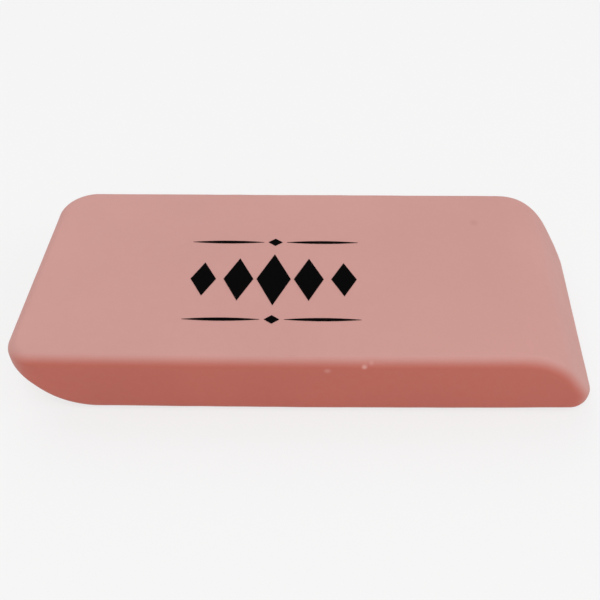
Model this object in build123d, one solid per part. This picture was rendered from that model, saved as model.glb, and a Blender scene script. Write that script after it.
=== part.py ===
from build123d import *
import os

# A bevelled rubber eraser, lying flat. Seen from the front it is a parallelogram with
# two blunt noses and two well rounded shoulders. Seen from above its ends are a little
# out of square with its cut sides, and each corner is rounded by its own amount. All
# sizes are in millimetres. X runs along the length, Y from the front to the back, and Z
# up from the face that it rests on. The origin is on that plane, under the middle of
# the block's overall length and width.

# The block
block_length = 57.2
block_width = 25.4
block_thickness = 7.9
edge_radius = 1.2
bevel_lean = 3.8
shoulder_radius = 7.2
nose_land = 0.25

# How much further to the right each end stands at the back than at the front
end_skew = 1.1

# The corners, seen from above
front_left_corner = 2.7
front_right_corner = 2.2
back_right_corner = 6.0
back_left_corner = 4.0

# The ink on the top face, and how far its ornament is from the middle of that face
ink_thickness = 0.05
ornament_shift_x = -0.3
ornament_shift_y = -1.8

# A row of upright lozenges, the largest in the middle
lozenges_each_side = 2
lozenge_pitch = 3.6
lozenge_width = 3.5
lozenge_height = 7.4
lozenge_width_step = 0.45
lozenge_height_step = 1.3

# A fine rule behind the row and another in front of it. Each is two swelled halves
# with a small lozenge between them.
rule_distance = 5.6
rule_length = 17.6
rule_gap = 2.4
rule_swell = 0.2
bead_width = 1.5
bead_height = 1.1

# The core is the block without its edge radius. These are the places of its noses and
# its cut sides, and how far its ends are skewed from the middle line to a cut side.
nose_x = block_length / 2 - edge_radius
side_y = block_width / 2 - edge_radius
skew_x = end_skew * side_y / block_width


def core_profile():
    """The core's outline from the front."""
    shoulder_x = nose_x - bevel_lean
    low_z = edge_radius
    high_z = block_thickness - edge_radius
    outline = Polyline(
        (-shoulder_x, low_z),
        (nose_x, low_z),
        (nose_x, low_z + nose_land),
        (shoulder_x, high_z),
        (-nose_x, high_z),
        (-nose_x, high_z - nose_land),
        close=True,
    )
    profile = make_face(Plane.XZ * outline)
    corners = profile.vertices()
    right_shoulder = corners.sort_by_distance((shoulder_x, 0, high_z))[0]
    left_shoulder = corners.sort_by_distance((-shoulder_x, 0, low_z))[0]
    return fillet([right_shoulder, left_shoulder], shoulder_radius - edge_radius)


def core_plan():
    """The core's outline from above."""
    corner_radii = {
        (-nose_x - skew_x, -side_y): front_left_corner,
        (nose_x - skew_x, -side_y): front_right_corner,
        (nose_x + skew_x, side_y): back_right_corner,
        (-nose_x + skew_x, side_y): back_left_corner,
    }
    plan = make_face(Polyline(*corner_radii, close=True))
    for place, radius in corner_radii.items():
        corner = plan.vertices().sort_by_distance((*place, 0))[0]
        plan = fillet(corner, radius - edge_radius)
    return plan


def eraser_block():
    """The core, grown by a ball of the edge radius and centred over the origin."""
    to_back = Vector(skew_x, side_y, 0)
    slab = extrude(core_profile(), to_back.length, dir=to_back, both=True)
    column = extrude(core_plan(), block_thickness)
    block = offset(slab & column, edge_radius, kind=Kind.ARC)
    middle = block.bounding_box().center()
    return Pos(-middle.X, 0, 0) * block


def lozenge(x, y, width, height):
    """An upright lozenge about a point."""
    left = (x - width / 2, y)
    front = (x, y - height / 2)
    right = (x + width / 2, y)
    back = (x, y + height / 2)
    return make_face(Polyline(left, front, right, back, close=True))


def lozenge_row():
    """The lozenges, which get smaller away from the middle one."""
    row = []
    for place in range(-lozenges_each_side, lozenges_each_side + 1):
        width = lozenge_width - abs(place) * lozenge_width_step
        height = lozenge_height - abs(place) * lozenge_height_step
        row.append(lozenge(place * lozenge_pitch, 0, width, height))
    return row


def swelled_rule(y):
    """Two halves that are thickest midway and come to a point, and the bead between."""
    pieces = [lozenge(0, y, bead_width, bead_height)]
    for side in (-1, 1):
        inner = (side * rule_gap / 2, y)
        outer = (side * rule_length / 2, y)
        behind = SagittaArc(inner, outer, rule_swell)
        before = SagittaArc(outer, inner, rule_swell)
        pieces.append(make_face([behind, before]))
    return pieces


def printed_ornament(block):
    """The ink film, face to face with the flat of the block's top."""
    flat = block.faces().sort_by(Axis.Z)[-1].bounding_box()
    middle = flat.center() + Vector(ornament_shift_x, ornament_shift_y, 0)
    shapes = lozenge_row() + swelled_rule(-rule_distance) + swelled_rule(rule_distance)
    films = [extrude(Pos(middle) * shape, ink_thickness) for shape in shapes]
    return Compound(children=films)


block = eraser_block()
ornament = printed_ornament(block)

os.makedirs("parts", exist_ok=True)
export_step(block, "parts/eraser_block.step")
export_step(ornament, "parts/printed_ornament.step")
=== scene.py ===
import math

import bmesh
import bpy
import numpy as np
from mathutils import Matrix, Vector, noise
from mathutils.bvhtree import BVHTree


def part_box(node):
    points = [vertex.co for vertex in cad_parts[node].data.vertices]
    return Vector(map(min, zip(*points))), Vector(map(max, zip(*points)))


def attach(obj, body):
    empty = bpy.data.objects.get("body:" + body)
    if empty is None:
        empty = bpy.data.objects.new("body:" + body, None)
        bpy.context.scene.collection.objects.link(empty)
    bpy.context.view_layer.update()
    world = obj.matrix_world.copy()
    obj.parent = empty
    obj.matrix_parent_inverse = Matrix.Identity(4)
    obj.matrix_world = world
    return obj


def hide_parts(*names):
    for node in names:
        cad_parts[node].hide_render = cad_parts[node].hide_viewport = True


# A bevelled pink rubber eraser on a pale floor. All sizes are in metres.

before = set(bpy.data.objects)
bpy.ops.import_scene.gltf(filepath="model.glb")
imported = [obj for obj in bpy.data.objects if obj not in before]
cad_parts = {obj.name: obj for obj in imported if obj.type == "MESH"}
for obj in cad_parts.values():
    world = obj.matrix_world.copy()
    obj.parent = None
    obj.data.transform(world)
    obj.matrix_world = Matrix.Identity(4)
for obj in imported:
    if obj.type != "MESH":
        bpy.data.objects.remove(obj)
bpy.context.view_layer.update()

MM = 0.001
QUARTER_TURN = math.pi / 2

# The block's form. Its width and thickness come from the frame.
BLOCK_LENGTH = 57.2 * MM
EDGE_RADIUS = 1.2 * MM
BEVEL_LEAN = 3.8 * MM
SHOULDER_RADIUS = 7.2 * MM
NOSE_LAND = 0.25 * MM
FRONT_LEFT_CORNER = 2.7 * MM
FRONT_RIGHT_CORNER = 2.2 * MM
BACK_RIGHT_CORNER = 6.0 * MM
BACK_LEFT_CORNER = 4.0 * MM

# How much further to the right each end stands at the back than at the front, and how
# far the front side falls back towards its two ends
END_SKEW = 1.1 * MM
FRONT_BOW = 0.19 * MM

# The mesh that is laid over that form: the size of its cells, how far outside the block
# they start, and how finely the core's outline is drawn
CELL = 0.3 * MM
CAGE_MARGIN = 1.0 * MM
CORNER_STEPS = 24
SIDE_STEPS = 300

# How uneven the moulded and tumbled rubber is, as depth below the true form. The greater
# the sharpness, the sooner wear reaches its full depth as a face turns into an edge. The
# face stays true under the print, and the unevenness returns over the margin round it.
SWELL_DEPTH = 0.03 * MM
SWELL_LENGTH = 9 * MM
WEAR_DEPTH = 0.045 * MM
WEAR_LENGTH = 2.4 * MM
WEAR_SHARPNESS = 5.0
PRINT_MARGIN = 1.5 * MM

# Linear colours. The sides that face front and back show the rubber's own pink. The top, the underside
# and the ends are painted a paler pink, which is a painted reflection.
RUBBER = (0.474, 0.115, 0.081)
PAINTED_REFLECTION_PINK = (0.549, 0.275, 0.245)
INK = (0.0015, 0.0013, 0.0013)
FLOOR = (0.913, 0.913, 0.913)
WHITE = (1, 1, 1)

# Where the colour changes from the painted reflection to the rubber's own pink, as a share of the turn
# from facing up or along to facing sideways
REFLECTION_FADE_STARTS = 0.14
REFLECTION_FADE_ENDS = 0.92

# How many finer layers are added to the noise in both materials
NOISE_DETAIL = 2

# The rubber's surface: slow clouds in its colour, ripples and grain in its relief, and its
# least and greatest roughness
CLOUD_LENGTH = 14 * MM
CLOUD_CONTRAST = 0.06
RIPPLE_LENGTH = 0.9 * MM
RIPPLE_HEIGHT = 0.008 * MM
GRAIN_LENGTH = 0.12 * MM
GRAIN_HEIGHT = 0.006 * MM
RUBBER_ROUGHNESS = (0.55, 0.72)

# Small round marks on the rubber, in millimetres: the middle, the width, the colour, how
# strongly that colour shows and how deep the mark is
NICK = (0.72, 0.4, 0.36)
SMUDGE = (0.42, 0.19, 0.165)
MARKS = (
    ((5.29, -12.6, 7.05), 0.8, NICK, 0.65, 0.03),
    ((1.82, -12.65, 6.53), 1.0, NICK, 0.3, 0.02),
    ((5.94, -12.4, 7.4), 0.7, NICK, 0.25, 0.01),
    ((18.0, 7.2, 7.85), 1.4, SMUDGE, 0.35, 0.0),
)

# The ink's surface: its least and greatest roughness, how much it shines, and the size of
# its mottling
INK_ROUGHNESS = (0.75, 0.9)
INK_SPECULAR = 0.02
INK_MOTTLE_LENGTH = 0.5 * MM

# The light: an even white room, and lamps at one distance from the middle. Each lamp is a
# disc: its azimuth, from 0 behind the block round to its right, and its elevation, both in
# degrees, its width, and how bright it makes a white surface that faces it.
ROOM_LEVEL = 0.5
LAMP_DISTANCE = 0.5
LAMPS = {
    "back_left": (-25, 50, 0.4, 0.21),
    "front": (180, 60, 0.4, 0.44),
    "right_low": (95, 25, 0.3, 0.17),
}

# How far the floor reaches from the middle, and how much of what the camera sees of it is
# its plain colour
FLOOR_REACH = 0.45
FLOOR_PLAIN_SHARE = 0.75

# The camera, at the photograph's angle. Only its sensor's width is in millimetres.
PICTURE_PIXELS = 600
FOCAL_PIXELS = 824
CENTRE_PIXEL_X = 309.2
CENTRE_PIXEL_Y = 293.81
CAMERA_AZIMUTH = math.radians(0.45)
CAMERA_ELEVATION = math.radians(45.65)
CAMERA_DISTANCE = 88.37 * MM
CAMERA_CLIP_START = 1 * MM
SENSOR_WIDTH = 36.0


def shader_node(tree, kind, inputs=None, **settings):
    """A node with its settings, its numbers and the sockets that feed it."""
    made = tree.nodes.new(kind)
    for name, value in settings.items():
        setattr(made, name, value)
    for name, value in (inputs or {}).items():
        if isinstance(name, str):
            socket = next(item for item in made.inputs if item.name == name and item.enabled)
        else:
            socket = made.inputs[name]
        if isinstance(value, bpy.types.NodeSocket):
            tree.links.new(value, socket)
        else:
            socket.default_value = value
    return made


def result(node):
    """The output that a node is used for."""
    return next(socket for socket in node.outputs if socket.enabled)


def maths(tree, operation, first, second):
    """The socket that holds what an operation makes of two numbers or sockets."""
    return result(shader_node(tree, "ShaderNodeMath", {0: first, 1: second}, operation=operation))


class BlockForm:
    """The block's core, which is the block without its edge radius."""

    def __init__(self):
        low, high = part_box("eraser_block")
        self.middle_x = (low.x + high.x) / 2
        self.width = high.y - low.y
        self.thickness = high.z - low.z
        self.skew = END_SKEW / self.width
        self.nose_x = BLOCK_LENGTH / 2 - EDGE_RADIUS
        self.shoulder_x = self.nose_x - BEVEL_LEAN
        self.side_y = self.width / 2 - EDGE_RADIUS
        self.high_z = self.thickness - EDGE_RADIUS
        self.nose_z = EDGE_RADIUS + NOSE_LAND

    def upper_z(self, x):
        """The top of the core: flat, then round over the shoulder, then the slant."""
        radius = SHOULDER_RADIUS - EDGE_RADIUS
        drop = self.high_z - self.nose_z
        turn = math.atan2(drop, BEVEL_LEAN)
        reach = radius * math.tan(turn / 2)
        round_start = self.shoulder_x - reach
        round_end = self.shoulder_x + reach * math.cos(turn)
        along = np.clip(x - round_start, 0, radius)
        rounded = self.high_z - radius + np.sqrt(radius**2 - along**2)
        slant = self.high_z - (x - self.shoulder_x) * drop / BEVEL_LEAN
        return np.where(x <= round_end, rounded, slant)

    def corner_arc(self, right, back, corner, angles):
        """One corner of the core from above, rounded where a skewed end meets a side."""
        radius = corner - EDGE_RADIUS
        centre_y = back * (self.side_y - radius)
        inward = radius * math.hypot(1, self.skew)
        centre_x = self.skew * centre_y + right * (self.nose_x - inward)
        return centre_x + radius * np.cos(angles), centre_y + radius * np.sin(angles)

    def plan(self):
        """Points all round the core's outline from above: its corners, then its two sides."""
        lean = math.atan(self.skew)
        # For each corner: 1 or -1 for right or left, 1 or -1 for back or front, its radius,
        # and the angles where its arc starts and stops.
        corners = (
            (1, 1, BACK_RIGHT_CORNER, -lean, QUARTER_TURN),
            (-1, 1, BACK_LEFT_CORNER, QUARTER_TURN, 2 * QUARTER_TURN - lean),
            (-1, -1, FRONT_LEFT_CORNER, 2 * QUARTER_TURN - lean, 3 * QUARTER_TURN),
            (1, -1, FRONT_RIGHT_CORNER, 3 * QUARTER_TURN, 4 * QUARTER_TURN - lean),
        )
        x, y = [], []
        for right, back, corner, start, end in corners:
            angles = np.linspace(start, end, CORNER_STEPS)
            arc_x, arc_y = self.corner_arc(right, back, corner, angles)
            x.append(arc_x)
            y.append(arc_y)
        # The back side runs between the first two corners, the front side between the others.
        for first, second in ((0, 1), (2, 3)):
            x.append(np.linspace(x[first][-1], x[second][0], SIDE_STEPS))
            y.append(np.full(SIDE_STEPS, y[first][-1]))
        return np.concatenate(x), np.concatenate(y)

    def tree(self):
        """The core as a closed convex mesh that can be asked for its nearest point."""
        x, y = self.plan()
        along = x - self.skew * y
        # The underside is the top turned over end for end.
        top = self.upper_z(along)
        bottom = self.thickness - self.upper_z(-along)
        bow = FRONT_BOW / self.side_y * (along / self.nose_x) ** 2
        y = np.where(y < 0, y * (1 - bow), y)
        # The skew and the uneven corners leave the outline a little off the block's middle.
        x += self.middle_x - (x.min() + x.max()) / 2
        mesh = bmesh.new()
        for z in (top, bottom):
            for point in zip(x, y, z):
                mesh.verts.new(point)
        bmesh.ops.convex_hull(mesh, input=mesh.verts)
        found = BVHTree.FromBMesh(mesh)
        mesh.free()
        return found


def cage_cells(counts):
    """The outside of a block of cells: its corners as whole numbers, and its faces."""
    places = {}
    faces = []

    def corner(axis, level, u, v):
        spot = [0, 0, 0]
        spot[axis] = level
        spot[(axis + 1) % 3] = u
        spot[(axis + 2) % 3] = v
        return places.setdefault(tuple(spot), len(places))

    for axis in range(3):
        for level in (0, counts[axis]):
            for u in range(counts[(axis + 1) % 3]):
                for v in range(counts[(axis + 2) % 3]):
                    ring = [(u, v), (u + 1, v), (u + 1, v + 1), (u, v + 1)]
                    # A face on the low side runs the other way round, so that it faces out.
                    if level == 0:
                        ring.reverse()
                    faces.append([corner(axis, level, *place) for place in ring])
    return np.array(list(places), float), faces


def cage_points(form, cells, counts):
    """The cells as a leaning box that stands a little outside the block."""
    share = cells / np.array(counts)
    z = -CAGE_MARGIN + share[:, 2] * (form.thickness + 2 * CAGE_MARGIN)
    y = (share[:, 1] * 2 - 1) * (form.width / 2 + CAGE_MARGIN)
    rise = z / form.thickness
    left = -BLOCK_LENGTH / 2 - CAGE_MARGIN + BEVEL_LEAN * (1 - rise)
    right = BLOCK_LENGTH / 2 + CAGE_MARGIN - BEVEL_LEAN * rise
    x = left + share[:, 0] * (right - left) + form.skew * y
    return np.column_stack([x, y, z])


def printed_share(point, print_low, print_high):
    """1 over the print, falling to 0 a margin away from it."""
    away_x = max(print_low.x - point.x, point.x - print_high.x, 0)
    away_y = max(print_low.y - point.y, point.y - print_high.y, 0)
    return max(0.0, 1 - math.hypot(away_x, away_y) / PRINT_MARGIN)


def wander(point, length):
    """Smooth noise at a point, from 0 to 1, with features of the given length."""
    return 0.5 + 0.5 * noise.noise(point / length)


def hollow_depth(point, facing, print_low, print_high):
    """How far the surface lies below the true form: slow swells, and wear on edges."""
    depth = SWELL_DEPTH * wander(point, SWELL_LENGTH)
    edge = 1 - max(abs(facing.x), abs(facing.y), abs(facing.z))
    depth += WEAR_DEPTH * wander(point, WEAR_LENGTH) * min(1, edge * WEAR_SHARPNESS)
    if facing.z > 0:
        depth *= 1 - printed_share(point, print_low, print_high)
    return depth


def block_mesh():
    """The rubber block, as one closed mesh. It keeps how far each point faces sideways."""
    form = BlockForm()
    core = form.tree()
    counts = [round(size / CELL) for size in (BLOCK_LENGTH, form.width, form.thickness)]
    cells, faces = cage_cells(counts)
    print_low, print_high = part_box("printed_ornament")
    points = []
    sideways = []
    # Each point of the cage is drawn in until it is the edge radius away from the core.
    for cage_point in cage_points(form, cells, counts):
        outside = Vector(cage_point)
        nearest = core.find_nearest(outside)[0]
        facing = (outside - nearest).normalized()
        point = nearest + facing * EDGE_RADIUS
        depth = hollow_depth(point, facing, print_low, print_high)
        points.append(point - facing * depth)
        sideways.append(math.asin(min(1, abs(facing.y))) / QUARTER_TURN)
    mesh = bpy.data.meshes.new("rubber_block")
    mesh.from_pydata(points, [], faces)
    mesh.attributes.new("sideways", "FLOAT", "POINT").data.foreach_set("value", sideways)
    mesh.shade_smooth()
    return mesh


def blend(tree, share, first, second):
    """One colour turning into another as the share goes from 0 to 1."""
    inputs = {"Factor": share, "A": first, "B": second}
    return result(shader_node(tree, "ShaderNodeMix", inputs, data_type="RGBA"))


def noise_share(tree, where, length):
    """Smooth noise in a material, from 0 to 1, with features of the given length."""
    inputs = {"Vector": where, "Scale": 1 / length, "Detail": NOISE_DETAIL}
    return shader_node(tree, "ShaderNodeTexNoise", inputs).outputs["Fac"]


def spread(tree, share, low, high):
    """A share from 0 to 1, spread from one value to another."""
    inputs = {"Value": share, "To Min": low, "To Max": high}
    return result(shader_node(tree, "ShaderNodeMapRange", inputs))


def spot_share(tree, where, place, width):
    """1 in the middle of a round mark, given in millimetres, falling to 0 at its rim."""
    centre = [MM * value for value in place]
    away = shader_node(
        tree, "ShaderNodeVectorMath", {0: where, 1: centre}, operation="DISTANCE"
    ).outputs["Value"]
    inputs = {"Value": away, "From Min": 0.0, "From Max": width * MM / 2, "To Min": 1.0, "To Max": 0.0}
    return result(
        shader_node(tree, "ShaderNodeMapRange", inputs, interpolation_type="SMOOTHSTEP")
    )


def rubber_material():
    """Matte pink rubber: a painted pale reflection on the top, underside and ends, deeper pink on the
    front and back.
    """
    material = bpy.data.materials.new("pink_rubber")
    material.use_nodes = True
    tree = material.node_tree
    shader = tree.nodes["Principled BSDF"]
    where = shader_node(tree, "ShaderNodeTexCoord").outputs["Object"]
    sideways = shader_node(tree, "ShaderNodeAttribute", attribute_name="sideways").outputs["Fac"]
    painted_reflection_fade = shader_node(
        tree,
        "ShaderNodeMapRange",
        {"Value": sideways, "From Min": REFLECTION_FADE_STARTS, "From Max": REFLECTION_FADE_ENDS},
        interpolation_type="SMOOTHSTEP",
    )
    # The top, underside and ends get the paler pink, which is a painted reflection, and the front and
    # back keep the rubber's own pink.
    colour = blend(tree, result(painted_reflection_fade), (*PAINTED_REFLECTION_PINK, 1), (*RUBBER, 1))
    cloud = noise_share(tree, where, CLOUD_LENGTH)
    shade = spread(tree, cloud, 1 - CLOUD_CONTRAST, 1 + CLOUD_CONTRAST)
    ripple = noise_share(tree, where, RIPPLE_LENGTH)
    grain = noise_share(tree, where, GRAIN_LENGTH)
    height = maths(
        tree,
        "ADD",
        maths(tree, "MULTIPLY", ripple, RIPPLE_HEIGHT),
        maths(tree, "MULTIPLY", grain, GRAIN_HEIGHT),
    )
    for place, width, mark_colour, strength, depth in MARKS:
        spot = spot_share(tree, where, place, width)
        colour = blend(tree, maths(tree, "MULTIPLY", spot, strength), colour, (*mark_colour, 1))
        height = maths(tree, "SUBTRACT", height, maths(tree, "MULTIPLY", spot, depth * MM))
    tinted = shader_node(
        tree, "ShaderNodeVectorMath", {0: colour, "Scale": shade}, operation="SCALE"
    )
    tree.links.new(result(tinted), shader.inputs["Base Color"])
    # The height is already in metres, so the bump takes it as it is.
    bump = shader_node(tree, "ShaderNodeBump", {"Height": height, "Distance": 1.0})
    tree.links.new(bump.outputs["Normal"], shader.inputs["Normal"])
    tree.links.new(spread(tree, ripple, *RUBBER_ROUGHNESS), shader.inputs["Roughness"])
    return material


def ink_material():
    """Matt black printing ink, a little uneven in its gloss."""
    material = bpy.data.materials.new("black_ink")
    material.use_nodes = True
    tree = material.node_tree
    shader = tree.nodes["Principled BSDF"]
    where = shader_node(tree, "ShaderNodeTexCoord").outputs["Object"]
    mottle = noise_share(tree, where, INK_MOTTLE_LENGTH)
    tree.links.new(spread(tree, mottle, *INK_ROUGHNESS), shader.inputs["Roughness"])
    shader.inputs["Base Color"].default_value = (*INK, 1)
    shader.inputs["Specular IOR Level"].default_value = INK_SPECULAR
    return material


def add_block():
    """The rubber block, which is shown instead of the frame's plain solid."""
    block = bpy.data.objects.new("rubber_block", block_mesh())
    bpy.context.scene.collection.objects.link(block)
    block.data.materials.append(rubber_material())
    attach(block, "root")
    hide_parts("eraser_block")


def dress_print():
    """The print keeps its shape from the frame and gets the ink."""
    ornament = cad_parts["printed_ornament"]
    ornament.data.materials.clear()
    ornament.data.materials.append(ink_material())


def seen_plainly(tree):
    """1 for what the camera sees, also in gloss and through glass."""
    path = shader_node(tree, "ShaderNodeLightPath").outputs
    seen = maths(tree, "MAXIMUM", path["Is Camera Ray"], path["Is Glossy Ray"])
    return maths(tree, "MAXIMUM", seen, path["Is Transmission Ray"])


def add_floor():
    """A pale square floor that shows mostly its plain colour, and a little of its light."""
    mesh = bmesh.new()
    bmesh.ops.create_grid(mesh, x_segments=1, y_segments=1, size=FLOOR_REACH)
    data = bpy.data.meshes.new("floor")
    mesh.to_mesh(data)
    mesh.free()
    floor = bpy.data.objects.new("floor", data)
    bpy.context.scene.collection.objects.link(floor)
    material = bpy.data.materials.new("pale_floor")
    material.use_nodes = True
    tree = material.node_tree
    tree.nodes.remove(tree.nodes["Principled BSDF"])
    paint = shader_node(tree, "ShaderNodeBsdfDiffuse", {"Color": (*FLOOR, 1)})
    glow = shader_node(tree, "ShaderNodeEmission", {"Color": (*FLOOR, 1), "Strength": 1.0})
    share = maths(tree, "MULTIPLY", seen_plainly(tree), FLOOR_PLAIN_SHARE)
    mixed = shader_node(
        tree,
        "ShaderNodeMixShader",
        {0: share, 1: paint.outputs[0], 2: glow.outputs[0]},
    )
    output = tree.nodes["Material Output"]
    tree.links.new(mixed.outputs[0], output.inputs["Surface"])
    floor.data.materials.append(material)


def add_room():
    """An even white room that looks like the floor's colour behind the block."""
    world = bpy.data.worlds.new("soft_room")
    world.use_nodes = True
    tree = world.node_tree
    room = tree.nodes["Background"]
    room.inputs["Color"].default_value = (*WHITE, 1)
    room.inputs["Strength"].default_value = ROOM_LEVEL
    backdrop = shader_node(tree, "ShaderNodeBackground", {"Color": (*FLOOR, 1), "Strength": 1.0})
    mixed = shader_node(
        tree,
        "ShaderNodeMixShader",
        {0: seen_plainly(tree), 1: room.outputs[0], 2: backdrop.outputs[0]},
    )
    tree.links.new(mixed.outputs[0], tree.nodes["World Output"].inputs["Surface"])
    bpy.context.scene.world = world


def add_lamp(name, azimuth, elevation, size, level):
    """A disc lamp aimed at the middle, with the power that gives its level there."""
    data = bpy.data.lights.new(name, "AREA")
    data.shape = "DISK"
    data.size = size
    data.energy = level * (math.pi * LAMP_DISTANCE) ** 2
    around = math.radians(azimuth)
    up = math.radians(elevation)
    towards = Vector((math.sin(around) * math.cos(up), math.cos(around) * math.cos(up), math.sin(up)))
    lamp = bpy.data.objects.new(name, data)
    lamp.location = towards * LAMP_DISTANCE
    lamp.rotation_euler = towards.to_track_quat("Z", "Y").to_euler()
    bpy.context.scene.collection.objects.link(lamp)


def add_camera():
    """The camera looks at the middle of the block, at the photograph's place in its frame."""
    low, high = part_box("eraser_block")
    target = (low + high) / 2
    flat = math.cos(CAMERA_ELEVATION)
    back = Vector((
        math.sin(CAMERA_AZIMUTH) * flat,
        -math.cos(CAMERA_AZIMUTH) * flat,
        math.sin(CAMERA_ELEVATION),
    ))
    right = Vector((math.cos(CAMERA_AZIMUTH), math.sin(CAMERA_AZIMUTH), 0))
    up = back.cross(right)
    data = bpy.data.cameras.new("camera")
    data.sensor_width = SENSOR_WIDTH
    data.lens = SENSOR_WIDTH * FOCAL_PIXELS / PICTURE_PIXELS
    data.shift_x = (PICTURE_PIXELS / 2 - CENTRE_PIXEL_X) / PICTURE_PIXELS
    data.shift_y = (CENTRE_PIXEL_Y - PICTURE_PIXELS / 2) / PICTURE_PIXELS
    data.clip_start = CAMERA_CLIP_START
    camera = bpy.data.objects.new("camera", data)
    turned = Matrix((right, up, back)).transposed()
    camera.matrix_world = Matrix.Translation(target + back * CAMERA_DISTANCE) @ turned.to_4x4()
    bpy.context.scene.collection.objects.link(camera)
    bpy.context.scene.camera = camera


add_block()
dress_print()
add_floor()
add_room()
for name, lamp in LAMPS.items():
    add_lamp(name, *lamp)
add_camera()
bpy.context.scene.view_settings.view_transform = "Standard"
